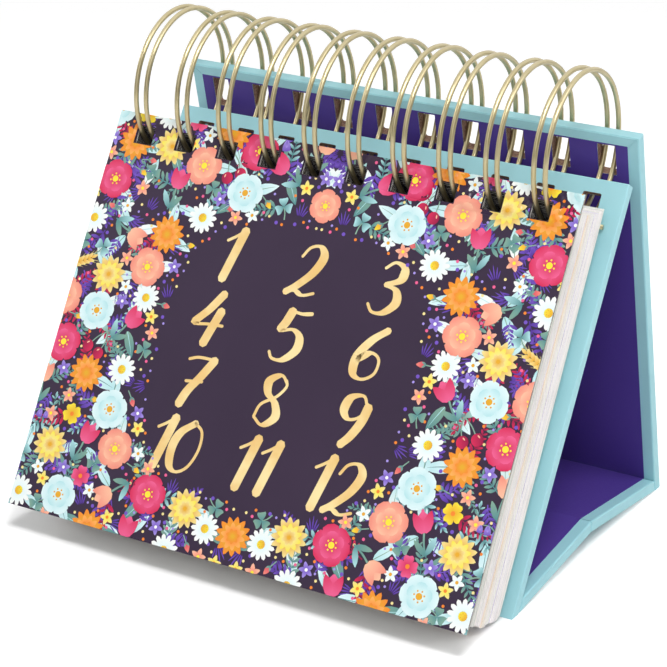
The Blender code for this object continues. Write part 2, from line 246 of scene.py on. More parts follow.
class Finish:
    """A material whose nodes are added by one method."""

    def __init__(self, name, roughness, **sockets):
        self.material = bpy.data.materials.new(name)
        self.material.use_nodes = True
        self.tree = self.material.node_tree
        self.shader = self.tree.nodes["Principled BSDF"]
        self.shader.inputs["Roughness"].default_value = roughness
        for socket, value in sockets.items():
            self.shader.inputs[socket.replace("_", " ").title().replace("Ior", "IOR")].default_value = value

    def put(self, inputs, key, value):
        if isinstance(value, Value):
            self.tree.links.new(value.socket, inputs[key])
        elif isinstance(value, tuple) and len(value) == 3 and inputs[key].type == "RGBA":
            inputs[key].default_value = (*value, 1.0)
        else:
            inputs[key].default_value = value

    def node(self, kind, settings=None, sockets=None, output=0):
        made = self.tree.nodes.new(kind)
        for key, value in (settings or {}).items():
            if key == "stops":
                while len(made.color_ramp.elements) < len(value):
                    made.color_ramp.elements.new(0.5)
                for element, (place, colour) in zip(made.color_ramp.elements, value):
                    element.position = place
                    element.color = (*colour, 1.0)
            else:
                setattr(made, key, value)
        for key, value in (sockets or {}).items():
            self.put(made.inputs, key, value)
        return Value(self, made.outputs[output])

    def place(self, size=(1.0, 1.0, 1.0), turn=(0.0, 0.0, 0.0)):
        """Object coordinates, turned and then stretched."""
        point = self.node("ShaderNodeTexCoord", output="Object")
        turned = self.node("ShaderNodeMapping", {"vector_type": "POINT"}, {"Vector": point, "Rotation": turn})
        return self.node("ShaderNodeMapping", {"vector_type": "POINT"}, {"Vector": turned, "Scale": size})

    def noise(self, point, scale, detail=3.0, roughness=0.55):
        return self.node(
            "ShaderNodeTexNoise", None, {"Vector": point, "Scale": scale, "Detail": detail, "Roughness": roughness}
        )

    def attribute(self, name, output="Color"):
        return self.node("ShaderNodeAttribute", {"attribute_name": name}, output=output)

    def mix(self, factor, low, high, blend="MIX"):
        """Two colours mixed by a factor."""
        return self.node(
            "ShaderNodeMix", {"data_type": "RGBA", "blend_type": blend}, {0: factor, 6: low, 7: high}, output=2
        )

    def surface(self, **values):
        for socket, value in values.items():
            self.put(self.shader.inputs, socket.replace("_", " ").title(), value)

    def tones(self, pattern, edge, softness, low, high):
        """Two like colours, mixed where a pattern passes an edge."""
        self.surface(base_color=self.mix(pattern.above(edge, softness), paint(*low), paint(*high)))

    def bump(self, height, distance, strength=1.0):
        self.surface(
            normal=self.node("ShaderNodeBump", None, {"Strength": strength, "Distance": distance, "Height": height})
        )


def paint(red, green, blue):
    """A colour from its everyday 0 to 255 values."""
    parts = (red, green, blue)
    return tuple(((part / 255 + 0.055) / 1.055) ** 2.4 if part > 10 else part / 255 / 12.92 for part in parts)


def wrap_paper():
    """Printed and laminated wrap paper: even colour, faint mottle, faint fibre under the film."""
    finish = Finish("turquoise_wrap_paper", 0.45, specular_ior_level=0.4)
    point = finish.place()
    mottle = finish.noise(point, 38.0, 4.0)
    fibre = finish.noise(point, 900.0, 2.0)
    finish.tones(mottle, 0.55, 0.22, (160, 211, 219), (154, 205, 214))
    finish.surface(roughness=mottle * 0.12 + 0.38)
    finish.bump(fibre, 0.00002, 0.35)
    return finish.material


def lining_paper():
    """Deep violet lining: uncoated, with a fine felt mark."""
    finish = Finish("violet_lining_paper", 0.5, specular_ior_level=0.35)
    point = finish.place()
    cloud = finish.noise(point, 22.0, 3.0)
    grain = finish.noise(point, 1400.0, 2.0)
    finish.tones(cloud, 0.5, 0.25, (74, 54, 138), (80, 58, 144))
    finish.surface(roughness=grain * 0.14 + 0.42)
    finish.bump(grain, 0.00002, 0.3)
    return finish.material


def cut_board():
    """Chipboard where it was punched, dark with dust and glue."""
    finish = Finish("punched_board_edge", 0.9)
    fleck = finish.noise(finish.place(), 1600.0, 3.0)
    finish.tones(fleck, 0.52, 0.12, (166, 134, 114), (122, 92, 82))
    finish.bump(fleck, 0.00005, 0.5)
    return finish.material


def gold_wire():
    """Nylon-coated wire in satin champagne gold, a little worn."""
    finish = Finish("satin_champagne_gold", 0.28, metallic=0.9, coat_weight=0.3, coat_roughness=0.16)
    worn = finish.noise(finish.place(), 260.0, 3.0)
    finish.tones(worn, 0.5, 0.2, (198, 184, 142), (208, 195, 155))
    finish.surface(roughness=worn * 0.14 + 0.24)
    return finish.material


PAGE = paint(238, 236, 232)


def leaf_paper():
    """Trimmed edges of uncoated leaves: each has its own tint, and printed colour bleeds along it in streaks."""
    finish = Finish("leaf_paper", 0.82, specular_ior_level=0.25)
    tint = finish.attribute("tint")
    bleed = finish.noise(finish.place((300.0, 5600.0, 60.0), (FRONT_LEAN, 0.0, 0.0)), 1.0, 3.0, 0.65)
    dark = finish.noise(finish.place((400.0, 7000.0, 120.0), (FRONT_LEAN, 0.0, 0.0)), 1.0, 2.0)
    streaked = finish.mix(bleed.above(0.47, 0.16) * 0.6 + 0.4, PAGE, tint)
    shaded = finish.mix(dark.above(0.6, 0.08) * 0.6, streaked, paint(140, 132, 154))
    finish.surface(base_color=shaded)
    finish.bump(finish.noise(finish.place(), 1500.0, 2.0), 0.00003, 0.3)
    return finish.material


def plain_leaf():
    """The leaves' faces."""
    finish = Finish("plain_leaf", 0.82, specular_ior_level=0.25, base_color=(*PAGE, 1.0))
    finish.bump(finish.noise(finish.place(), 1500.0, 2.0), 0.00003, 0.3)
    return finish.material


def hole_shade():
    """Painted shade on the leaf edges down in the punched holes: dark brown where little light reaches."""
    finish = Finish("punched_leaf_edge_painted_shade", 0.9)
    lines = finish.noise(finish.place((300.0, 5600.0, 60.0), (FRONT_LEAN, 0.0, 0.0)), 1.0, 2.0)
    finish.tones(lines, 0.5, 0.15, (58, 46, 42), (44, 34, 32))
    return finish.material


def film(finish):
    """Clear film over the print: nearly flat, rippled and bright where the punch pulled it between the holes."""
    turned = finish.place(turn=(FRONT_LEAN, 0.0, 0.0))
    up = finish.node("ShaderNodeSeparateXYZ", None, {"Vector": turned}, "Z")
    across = finish.node("ShaderNodeSeparateXYZ", None, {"Vector": turned}, "X")
    row = COVER_HOLES[0] + math.sin(FRONT_LEAN) * FRONT_FOOT.x
    pulled = up.above(row - 0.0005, 0.002) * (across.above(0.02, 0.02) * 0.8 + 0.2)
    ripple = finish.noise(turned, 210.0, 2.0, 0.6)
    finish.bump(finish.noise(turned, 60.0, 2.0) * 0.01 + ripple * pulled, 0.002)
    finish.surface(roughness=pulled * -0.24 + 0.34)


def card(name, colour, deep, gloss):
    """Heavy card."""
    finish = Finish(name, 0.34, specular_ior_level=gloss)
    finish.tones(finish.noise(finish.place(), 30.0, 3.0), 0.5, 0.3, colour, deep)
    return finish


def ink(name, roughness, **sockets):
    """Print: each shape's colour is in the mesh, a little uneven as brushed paint is."""
    finish = Finish(name, roughness, **sockets)
    brush = finish.noise(finish.place(), 420.0, 3.0)
    finish.surface(
        base_color=finish.mix(brush.above(0.5, 0.3) * 0.16, finish.attribute("ink"), (0.5, 0.5, 0.5), "SOFT_LIGHT")
    )
    return finish


def gold_foil():
    """Pale gold of the figures: lighter and darker where the brush pressed."""
    finish = Finish("pale_gold_foil", 0.36, specular_ior_level=0.5)
    shade = finish.noise(finish.place(), 95.0, 3.0)
    finish.tones(shade, 0.5, 0.2, (246, 224, 164), (232, 192, 120))
    finish.surface(roughness=shade * 0.2 + 0.26)
    return finish.material


TURQUOISE = wrap_paper()
VIOLET = lining_paper()
CUT_BOARD = cut_board()
GOLD = gold_wire()
LEAF = leaf_paper()
PLAIN_LEAF = plain_leaf()
HOLE_SHADE = hole_shade()
COVER_CARD = card("aubergine_card", (54, 41, 62), (59, 45, 67), 0.4)
COVER_PRINT = ink("cover_ink", 0.34, specular_ior_level=0.4)
for finish in (COVER_CARD, COVER_PRINT):
    film(finish)
AUBERGINE = COVER_CARD.material
COVER_INK = COVER_PRINT.material
WHITE_CARD = card("white_card", (232, 230, 227), (238, 236, 233), 0.3).material
CARD_CORE = card("grey_card_core", (168, 166, 158), (152, 150, 144), 0.1).material
LEAF_INK = ink("leaf_ink", 0.75, specular_ior_level=0.3).material
FOIL = gold_foil()


# Shapes


def finish_piece(form, name, place, looks, body, stands_for=(), bend=None):
    """Ends a bmesh: puts it in place, names it and makes it ride on its body, or, for a piece that spans two bodies,
    leaves it in the scene unattached.
    """
    mesh = bpy.data.meshes.new(name)
    form.to_mesh(mesh)
    form.free()
    mesh.transform(place)
    made = bpy.data.objects.new(name, mesh)
    bpy.context.scene.collection.objects.link(made)
    for look in looks:
        mesh.materials.append(look)
    if bend:
        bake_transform(made)
    else:
        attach(made, body)
    if stands_for:
        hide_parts(*stands_for)
    return made


def flat_face(form, half_width, low, high, depth=0.0):
    """One upright face in the X and Z plane that looks along -Y."""
    size = Matrix.Diagonal((2 * half_width, high - low, 1.0, 1.0))
    upright = Matrix.Rotation(math.pi / 2, 4, "X")
    place = Matrix.Translation((0.0, depth, (low + high) / 2)) @ upright @ size
    bmesh.ops.create_grid(form, x_segments=1, y_segments=1, size=0.5, matrix=place)
    return form.faces[:]


def slice_faces(form, faces, point, normal, drop_beyond=False):
    """Cuts faces where a plane crosses them. What lies beyond it, along the normal, can go."""
    parts = set(faces)
    parts |= {edge for face in faces for edge in face.edges} | {vert for face in faces for vert in face.verts}
    cut = bmesh.ops.bisect_plane(
        form, geom=list(parts), dist=1e-7, plane_co=point, plane_no=normal, clear_outer=drop_beyond
    )
    return {item for item in cut["geom"] if isinstance(item, bmesh.types.BMFace) and item.is_valid}


def punch(form, faces, hole_low, hole_high, walls=(-HOLE_WIDTH / 2, HOLE_WIDTH / 2)):
    """Cuts the row of holes out of upright faces, with no cut outside the row."""
    kept = set(faces)
    holes = [(place + walls[0], place + walls[1]) for place in LOOPS]
    for level in (hole_low, hole_high):
        kept |= slice_faces(form, [face for face in kept if face.is_valid], (0.0, 0.0, level), (0.0, 0.0, 1.0))
    row = {face for face in kept if face.is_valid and hole_low < face.calc_center_bounds().z < hole_high}
    for hole in holes:
        for wall in hole:
            row |= slice_faces(form, [face for face in row if face.is_valid], (wall, 0.0, 0.0), (1.0, 0.0, 0.0))
    row = {face for face in row if face.is_valid}
    gone = [face for face in row if any(left < face.calc_center_bounds().x < right for left, right in holes)]
    kept |= row
    bmesh.ops.delete(form, geom=gone, context="FACES")
    return [face for face in kept if face.is_valid]


def thicken(form, faces, depth):
    """Gives flat faces a thickness along +Y and closes them."""
    grown = bmesh.ops.extrude_face_region(form, geom=faces)
    moved = [item for item in grown["geom"] if isinstance(item, bmesh.types.BMVert)]
    bmesh.ops.translate(form, verts=moved, vec=(0.0, depth, 0.0))
    bmesh.ops.recalc_face_normals(form, faces=form.faces)
    return moved


def sharp_edges(form, keep):
    return [edge for edge in form.edges if len(edge.link_faces) == 2 and edge.calc_face_angle() > 0.5 and keep(edge)]


def soften(form, edges, offset, segments):
    bmesh.ops.bevel(
        form, geom=edges, affect="EDGES", offset=offset, segments=segments, profile=0.5, material=-1, clamp_overlap=True
    )


def paint_hole_walls(form, hole_low, hole_high, look):
    """Gives the walls of the punched holes another look of the piece, by its number."""
    for face in form.faces:
        middle = face.calc_center_median()
        in_row = abs(middle.x) < LOOPS[-1] + 0.7 * HOLE_WIDTH and hole_low - 1e-4 < middle.z < hole_high + 1e-4
        if in_row and abs(face.normal.y) < 0.5:
            face.material_index = look


def round_hole_corners(form, hole_low, hole_high, offset):
    def corner(edge):
        first, second = (vert.co for vert in edge.verts)
        upright = abs(first.x - second.x) + abs(first.z - second.z) < 1e-7
        level = min(abs(first.z - hole_low), abs(first.z - hole_high)) < 1e-6
        return upright and level and abs(first.x) < LOOPS[-1] + HOLE_WIDTH

    soften(form, sharp_edges(form, corner), offset, 3)


# Boards


def board_case(name, place, length, low_slope, high_slope, holes):
    """A board in its wrap, with rounded paper edges and raw board showing in the punched holes."""
    half = BOARD_WIDTH / 2
    form = bmesh.new()
    faces = flat_face(form, half, 0.0, length)
    if holes:
        faces = punch(form, faces, *holes)
    for vert in thicken(form, faces, BOARD_THICKNESS):
        if vert.co.z < 1e-6:
            vert.co.z += low_slope
        elif vert.co.z > length - 1e-6:
            vert.co.z += high_slope
    near_end = max(abs(low_slope), abs(high_slope)) + 0.0001

    def rim(edge):
        middle = (edge.verts[0].co + edge.verts[1].co) / 2
        return abs(middle.x) > half - 1e-6 or middle.z < near_end or middle.z > length - near_end

    if holes:
        round_hole_corners(form, *holes, 0.0005)
        paint_hole_walls(form, *holes, 1)
    soften(form, sharp_edges(form, rim), EDGE_ROUND, 3)
    finish_piece(
        form, f"{name}_case", place, [TURQUOISE, CUT_BOARD], name, (f"{name}_wrap", f"{name}_core")
    )


def turned_in_edges(name, place, low, high, has_top, holes):
    """The wrap's edges turned in over the board: a flap up each side, and one along the top with mitred ends."""
    half = BOARD_WIDTH / 2 - EDGE_ROUND
    form = bmesh.new()
    middle = flat_face(form, half, low - FLAP, high - EDGE_ROUND if has_top else high + FLAP, BOARD_THICKNESS)
    bmesh.ops.inset_region(form, faces=middle, thickness=FLAP, use_boundary=True, use_even_offset=True)
    bmesh.ops.delete(form, geom=middle, context="FACES_ONLY")
    bmesh.ops.split_edges(form, edges=form.edges[:])
    sides = [face for face in form.faces if abs(face.calc_center_median().x) > 0.01]
    ends = [face for face in form.faces if face not in sides]
    top = [face for face in ends if has_top and face.calc_center_median().z > (low + high) / 2]
    unwanted = [face for face in form.faces if face not in sides and face not in top]
    bmesh.ops.delete(form, geom=unwanted, context="FACES")
    sides = slice_faces(form, sides, (0.0, 0.0, low), (0.0, 0.0, -1.0), True)
    if not has_top:
        sides = slice_faces(form, [face for face in form.faces], (0.0, 0.0, high), (0.0, 0.0, 1.0), True)
    sides = [face for face in form.faces if face not in top]
    for vert in {vert for face in top for vert in face.verts}:
        vert.co.x *= 1 - MITRE_GAP / half
    if holes:
        sides = punch(form, sides, *holes)
        top = punch(form, top, *holes)
    thicken(form, sides, PAPER)
    if has_top:
        thicken(form, top, TOP_FLAP)
    finish_piece(form, f"{name}_turned_in_edges", place, [TURQUOISE], name, ())


def lining_sheet(name, place, low, high, holes):
    """The lining, glued over the turned-in edges, with its paper's thickness."""
    form = bmesh.new()
    faces = flat_face(form, BOARD_WIDTH / 2 - BAND_SIDE, low, high, BOARD_THICKNESS + PAPER)
    if holes:
        faces = punch(form, faces, *holes)
    thicken(form, faces, PAPER)
    finish_piece(form, f"{name}_lining_sheet", place, [VIOLET], name, (f"{name}_lining",))


def whole_board(name, place, length, low_slope, high_slope, holes=None):
    low = low_slope + HINGE_SHADOW
    high = length + high_slope
    has_top = holes is not None
    board_case(name, place, length, low_slope, high_slope, holes)
    turned_in_edges(name, place, low, high, has_top, holes)
    lining_sheet(name, place, low, high - BAND_TOP if has_top else high, holes)


def slope(angle):
    return BOARD_THICKNESS * math.tan(angle)


whole_board("front_board", FRONT, FRONT_LENGTH, slope(FRONT_LEAN), 0.0, (FRONT_HOLE_LOW, FRONT_HOLE_TOP))
whole_board("back_board", BACK, BACK_LENGTH, slope(BACK_LEAN), 0.0, (BACK_HOLE_LOW, BACK_HOLE_TOP))
whole_board("base_front", BASE_FRONT, FRONT_BASE_LENGTH, slope(FRONT_LEAN + FRONT_RISE), slope(FRONT_RISE))
whole_board("base_rear", BASE_REAR, REAR_BASE_LENGTH, slope(BACK_LEAN + REAR_RISE), slope(REAR_RISE))


def paper_hinge(name, bodies, first, second, up, paper):
    """The strip of paper that bridges a hinge. It runs up from two side points, between two bodies, and rides on
    neither.
    """
    look, slot, width = paper
    form = bmesh.new()
    bmesh.ops.create_grid(form, x_segments=4, y_segments=2, size=0.5)
    for vert in form.verts:
        share, lift = vert.co.x + 0.5, vert.co.y + 0.5
        place = first + (second - first) * share + up * lift
        vert.co = (-width / 2, place.x, place.y)
    grown = bmesh.ops.extrude_face_region(form, geom=form.faces[:])
    moved = [item for item in grown["geom"] if isinstance(item, bmesh.types.BMVert)]
    bmesh.ops.translate(form, verts=moved, vec=(width, 0.0, 0.0))
    bmesh.ops.recalc_face_normals(form, faces=form.faces)
    bend = ((0.0, first.x, first.y), (0.0, second.x, second.y))
    finish_piece(form, name, Matrix(), [look], bodies, (), bend)


WRAP_STRIP = (TURQUOISE, "turquoise_wrap", BOARD_WIDTH - 0.0008)
LINING_STRIP = (VIOLET, "purple_lining", BOARD_WIDTH - 2 * BAND_SIDE)
INNER_FRONT = FRONT_FOOT - OUT_FRONT * BOARD_THICKNESS
INNER_BACK = BACK_FOOT - OUT_BACK * BOARD_THICKNESS
paper_hinge(
    "front_paper_hinge",
    ("front_board", "base_front"),
    INNER_FRONT + UP_FRONT * 0.0021,
    INNER_FRONT - OUT_FRONT * HINGE_GAP + UP_FRONT * 0.0021,
    UP_FRONT * 0.0011,
    WRAP_STRIP,
)
paper_hinge(
    "rear_paper_hinge",
    ("back_board", "base_rear"),
    INNER_BACK + UP_BACK * 0.0010,
    INNER_BACK - OUT_BACK * HINGE_GAP + UP_BACK * 0.0010,
    UP_BACK * 0.0018,
    WRAP_STRIP,
)
HALF_GAP = Vector((HINGE_GAP / 2, 0.0))
paper_hinge(
    "crease_wrap",
    ("base_front", "base_rear"),
    CREASE - HALF_GAP + Vector((0.0, 0.0004)),
    CREASE + HALF_GAP + Vector((0.0, 0.0004)),
    Vector((0.0, 0.0018)),
    WRAP_STRIP,
)
paper_hinge(
    "crease_lining",
    ("base_front", "base_rear"),
    CREASE - HALF_GAP * 1.6 + Vector((0.0, BOARD_THICKNESS)),
    CREASE + HALF_GAP * 1.6 + Vector((0.0, BOARD_THICKNESS)),
    Vector((0.0, 2.1 * PAPER)),
    LINING_STRIP,
)


# Wire


def ring_angle(depth):
    out = depth - RING_OUT
    place = OUT_FRONT * out - UP_FRONT * math.sqrt(RING_RADIUS**2 - out**2)
    return math.atan2(place.y, place.x)


def ring_point(x, angle, sway=1.0):
    spoke = Vector((math.cos(angle), math.sin(angle))) * RING_RADIUS
    aside = lean(RING_OUT + spoke.dot(OUT_FRONT)) * sway
    return Vector((x + aside, RING_CENTRE.x + spoke.x, RING_CENTRE.y + spoke.y))


def twin_loop_wire():
    """Ten hairpin loops in one wire, round in section."""
    run = ring_angle(RUN_DEPTH)
    sweep = 2 * math.pi + ring_angle(TIP_DEPTH) - run
    arc = 72
    tip = 12
    half = TWIN_SPACING / 2
    path = [ring_point(LOOPS[0] - half - WIRE_END_RUN, run)]
    for place in LOOPS:
        sway = random.uniform(*WIRE_SWAY)
        path += [ring_point(place - half, run + sweep * step / arc, sway) for step in range(arc + 1)]
        for step in range(1, tip):
            turn = math.pi * step / tip
            path.append(ring_point(place - half * math.cos(turn), run + sweep + half * math.sin(turn) / RING_RADIUS))
        sway = random.uniform(*WIRE_SWAY)
        path += [ring_point(place + half, run + sweep * (arc - step) / arc, sway) for step in range(arc + 1)]
    path.append(ring_point(LOOPS[-1] + half + WIRE_END_RUN, run))
    curve = bpy.data.curves.new("twin_loop_gold_wire", "CURVE")
    curve.dimensions = "3D"
    curve.bevel_depth = WIRE_RADIUS
    curve.bevel_resolution = 3
    curve.use_fill_caps = True
    line = curve.splines.new("POLY")
    line.points.add(len(path) - 1)
    for point, place in zip(line.points, path):
        point.co = (*place, 1.0)
    line.use_smooth = True
    drawn = bpy.data.objects.new("wire_line", curve)
    bpy.context.scene.collection.objects.link(drawn)
    bpy.context.view_layer.update()
    mesh = bpy.data.meshes.new_from_object(drawn.evaluated_get(bpy.context.evaluated_depsgraph_get()))
    bpy.data.objects.remove(drawn)
    form = bmesh.new()
    form.from_mesh(mesh)
    bmesh.ops.remove_doubles(form, verts=form.verts, dist=1e-6)
    bmesh.ops.recalc_face_normals(form, faces=form.faces)
    for face in form.faces:
        face.smooth = True
    finish_piece(
        form, "twin_loop_gold_wire", Matrix(), [GOLD], "front_board", ("twin_loop_wire",)
    )


random.seed(3)
twin_loop_wire()


# Page block

GREEN_GREY = [paint(196, 203, 192), paint(206, 211, 200), paint(184, 190, 184), paint(222, 222, 216)]
WHITE_PINK = [paint(236, 231, 230), paint(228, 222, 230), paint(238, 228, 226), paint(232, 234, 228)]
PEACH = [paint(236, 206, 174), paint(238, 216, 184), paint(224, 196, 170), paint(238, 224, 206)]
LILAC = [paint(218, 206, 232), paint(230, 216, 232), paint(212, 212, 232), paint(236, 226, 234)]
TINTS_BY_SHARE = (
    (0.16, GREEN_GREY),
    (0.32, WHITE_PINK),
    (0.46, GREEN_GREY),
    (0.56, WHITE_PINK),
    (0.60, LILAC),
    (0.69, PEACH),
    (0.76, WHITE_PINK),
    (0.88, LILAC),
    (0.95, WHITE_PINK),
    (1.01, GREEN_GREY),
)


def stack(name, near, far, count, body, stands_for):
    """A pack of leaves: thin punched slabs that lie a little unevenly, as trimmed leaves do on a wire."""
    form = bmesh.new()
    tint = form.loops.layers.float_color.new("tint")
    pitch = (far - near) / count
    for number in range(count):
        depth = near + pitch * number
        thick = pitch * LEAF_SHARE
        top = leaf_top(depth)
        sheet = bmesh.new()
        wave = LEAF_EDGE_WAVE * math.sin(depth * 1100)
        low = top - LEAF_HEIGHT + wave + random.uniform(-LEAF_EDGE_UNEVEN, LEAF_EDGE_UNEVEN)
        faces = flat_face(sheet, LEAF_WIDTH / 2, low, top + leaf_lift(depth))
        hole_top = top - LEAF_HOLE_FROM_TOP
        hole_low = hole_top - LEAF_HOLE_HEIGHT - (DEEPER if depth > DEEP_HOLES_FROM else 0.0)
        shift = Vector((random.uniform(-LEAF_ASIDE, LEAF_ASIDE), -depth, random.uniform(-LEAF_UP, LEAF_UP)))
        walls = hole_walls(depth, shift.x + splay(depth, (top - hole_top) / LEAF_HEIGHT))
        moved = thicken(sheet, punch(sheet, faces, hole_low, hole_top, walls), -thick)
        # The walls of each leaf's holes take the dark brown look: painted shade down in the holes.
        paint_hole_walls(sheet, hole_low, hole_top, 1)
        for face in sheet.faces:
            if abs(face.normal.y) > 0.5:
                face.material_index = 2
        bmesh.ops.translate(sheet, verts=moved, vec=(0.0, 0.0, leaf_top(depth + thick) - top))
        for vert in sheet.verts:
            vert.co += shift + Vector((splay(depth, (top - vert.co.z) / LEAF_HEIGHT), 0.0, 0.0))
        loose = bpy.data.meshes.new("loose_leaf")
        sheet.to_mesh(loose)
        sheet.free()
        before = len(form.faces)
        form.from_mesh(loose)
        bpy.data.meshes.remove(loose)
        form.faces.ensure_lookup_table()
        share = 1 - (depth - BLOCK_START) / BLOCK_DEPTH
        colour = random.choice(next(tints for end, tints in TINTS_BY_SHARE if share < end))
        for face in form.faces[before:]:
            for loop in face.loops:
                loop[tint] = (*colour, 1.0)
    finish_piece(form, name, FRONT, [LEAF, HOLE_SHADE, PLAIN_LEAF], body, stands_for)


QUARTERS = ("pages_first_quarter", "pages_second_quarter", "pages_third_quarter", "pages_fourth_quarter")
random.seed(7)
PACK_PITCH = BLOCK_DEPTH / PACK_COUNT
for month in range(1, PACK_COUNT + 1):
    pack_near = BLOCK_START + (PACK_COUNT - month) * PACK_PITCH
    stack(
        f"leaf_stack_{month:02d}",
        pack_near,
        pack_near + PACK_PITCH - PACK_GAP / 4,
        LEAVES_A_PACK,
        QUARTERS[(month - 1) // 3],
        (f"month_pack_{month:02d}",),
    )
LEAF_NEAR = BLOCK_START + BLOCK_DEPTH
stack("first_loose_leaf", LEAF_NEAR + 0.0001, LEAF_NEAR + LEADING_LEAF, 1, "leading_leaf", ("leading_leaf",))


# Cover


def cover_card():
    """The cover: dark printed face, white card at its edges and back, and painted shade on the walls of the punched
    holes, which take the face's dark look.
    """
    form = bmesh.new()
    faces = flat_face(form, COVER_WIDTH / 2, COVER_LOW, COVER_TOP, -COVER_FAR)
    thicken(form, punch(form, faces, *COVER_HOLES, hole_walls(COVER_FAR)), COVER_THICKNESS)
    round_hole_corners(form, *COVER_HOLES, 0.0006)
    for face in form.faces:
        face.material_index = 0 if face.normal.y < -0.5 else 1 if face.normal.y > 0.5 else 2
    # The hole walls take the dark face look instead of the grey core: painted shade down in the holes.
    paint_hole_walls(form, *COVER_HOLES, 0)
    finish_piece(
        form, "cover_card", FRONT, [AUBERGINE, WHITE_CARD, CARD_CORE], "front_cover", ("front_cover",)
    )


cover_card()


# Print


INK = {
    "coral": paint(236, 138, 122),
    "peach": paint(247, 190, 158),
    "raspberry": paint(212, 42, 86),
    "wine": paint(150, 24, 70),
    "pink": paint(232, 98, 146),
    "orange": paint(240, 134, 48),
    "apricot": paint(248, 178, 96),
    "yellow": paint(244, 226, 62),
    "amber": paint(228, 168, 44),
    "straw": paint(240, 222, 150),
    "aqua": paint(176, 222, 226),
    "ice": paint(222, 241, 243),
    "teal": paint(84, 140, 142),
    "sage": paint(132, 168, 150),
    "white": paint(246, 245, 241),
    "violet": paint(116, 84, 190),
    "lilac": paint(164, 146, 222),
    "purple": paint(84, 52, 148),
    "dusk": paint(54, 34, 66),
}


def smooth_line(points, steps):
    """Points on a smooth line through the given ones. Each has its place and the brush's width there."""
    ends = [2 * points[0] - points[1], *points, 2 * points[-1] - points[-2]]
    line = []
    for before, first, second, after in zip(ends, ends[1:], ends[2:], ends[3:]):
        for step in range(steps):
            t = step / steps
            bend = (2 * before - 5 * first + 4 * second - after) * t * t
            line.append((2 * first + (second - before) * t + bend + (3 * (first - second) - before + after) * t**3) / 2)
    return [*line, points[-1]]


class Mark:
    """Flat painted shapes in millimetres, X to the right and Y up. Each later shape lies a hair in front."""

    def __init__(self):
        self.form = bmesh.new()
        self.ink = self.form.loops.layers.float_color.new("ink")
        self.height = 0.0
        self.last = None

    def colour_in(self, shares, base, tip):
        """Colours the shapes of these vertices, from the base colour at share 0 to the tip colour at 1."""
        self.height += 0.0012 if tip == self.last else 0.005
        self.last = tip
        low, high = Vector(INK[base]), Vector(INK[tip])
        for face in {face for vert in shares for face in vert.link_faces}:
            for loop in face.loops:
                loop[self.ink] = (*low.lerp(high, shares[loop.vert]), 1.0)
        for vert in shares:
            vert.co.z = self.height

    def petal(self, at, turn, length, width, tip, base=None, foot=0.4, head=0.0, notch=0.0, points=10):
        """A petal, leaf, drop or disc that starts at a point and reaches along a turn in degrees.

        foot and head say how narrow its two ends are, and notch how deep its head is notched.
        """
        verts = bmesh.ops.create_circle(self.form, cap_ends=True, cap_tris=True, segments=points, radius=0.5)["verts"]
        widest = (foot + 0.5) / (foot + head + 1.0)
        full = widest ** (foot + 0.5) * (1 - widest) ** (head + 0.5)
        place = Matrix.Translation((*at, 0.0)) @ Matrix.Rotation(math.radians(turn), 4, "Z")
        shares = {}
        for vert in verts:
            share = min(max(vert.co.x + 0.5, 0.0), 1.0)
            narrow = share**foot * max(1 - share, 0.001) ** head / full / 2
            dip = notch * length * max(0.0, 1 - abs(vert.co.y) / 0.28) if share > 0.8 else 0.0
            shares[vert] = share
            vert.co = place @ Vector((share * length - dip, vert.co.y * narrow * width, 0.0))
        self.colour_in(shares, base or tip, tip)

    def disc(self, at, radius, tip, base=None, points=10):
        self.petal((at[0] - radius, at[1]), 0.0, 2 * radius, 2 * radius, tip, base, 0.0, 0.0, 0.0, points)

    def ring(self, count, first, radius, length, width, tip, base=None, **shape):
        """Petals all round a middle, each starting this far out."""
        for number in range(count):
            turn = first + 360 * number / count
            at = (radius * math.cos(math.radians(turn)), radius * math.sin(math.radians(turn)))
            self.petal(at, turn, length, width, tip, base, **shape)

    def stroke(self, points, tip, base=None, steps=5):
        """A brush line through (x, y, width) points."""
        line = smooth_line([Vector(point) for point in points], steps)
        last = len(line) - 1
        verts = bmesh.ops.create_grid(self.form, x_segments=last, y_segments=1, size=0.5)["verts"]
        shares = {}
        for vert in verts:
            number = round((vert.co.x + 0.5) * last)
            point = line[number]
            ahead = line[min(number + 1, last)] - line[max(number - 1, 0)]
            side = Vector((-ahead.y, ahead.x, 0.0)).normalized() * max(point.z, 0.02) / 2
            shares[vert] = number / last
            vert.co = Vector((point.x, point.y, 0.0)) + side * (1 if vert.co.y > 0 else -1)
        self.colour_in(shares, base or tip, tip)

    def finished(self):
        mesh = bpy.data.meshes.new("printed_mark")
        self.form.to_mesh(mesh)
        self.form.free()
        return mesh


LEAFLET = {"foot": 0.3, "head": 0.3, "points": 8}


def drawn(draw):
    """Lets a function draw on a new mark and give back its mesh."""

    def finished(*given):
        mark = Mark()
        draw(mark, *given)
        return mark.finished()

    return finished


@drawn
def peony(mark, outer, inner, heart):
    """An open flower of round notched petals in two rows, seen from the front."""
    mark.ring(6, 0, 0.4, 5.0, 4.7, outer, inner, foot=0.25, notch=0.1)
    mark.ring(5, 20, 0.2, 3.4, 3.0, inner, outer, foot=0.25, notch=0.1)
    mark.disc((0.0, 0.0), 0.85, heart)
    mark.ring(7, 10, 1.1, 0.5, 0.5, heart, foot=0.0, points=6)


@drawn
def dahlia(mark, outer, inner, heart):
    """A full round flower of many pointed petals in three rows."""
    mark.ring(13, 0, 1.6, 3.4, 1.9, outer, heart, foot=0.1, head=0.35, points=8)
    mark.ring(10, 15, 0.8, 2.7, 1.6, inner, outer, foot=0.1, head=0.3, points=8)
    mark.ring(7, 30, 0.1, 1.9, 1.3, outer, heart, foot=0.1, head=0.3, points=8)
    mark.disc((0.0, 0.0), 0.55, heart, points=8)


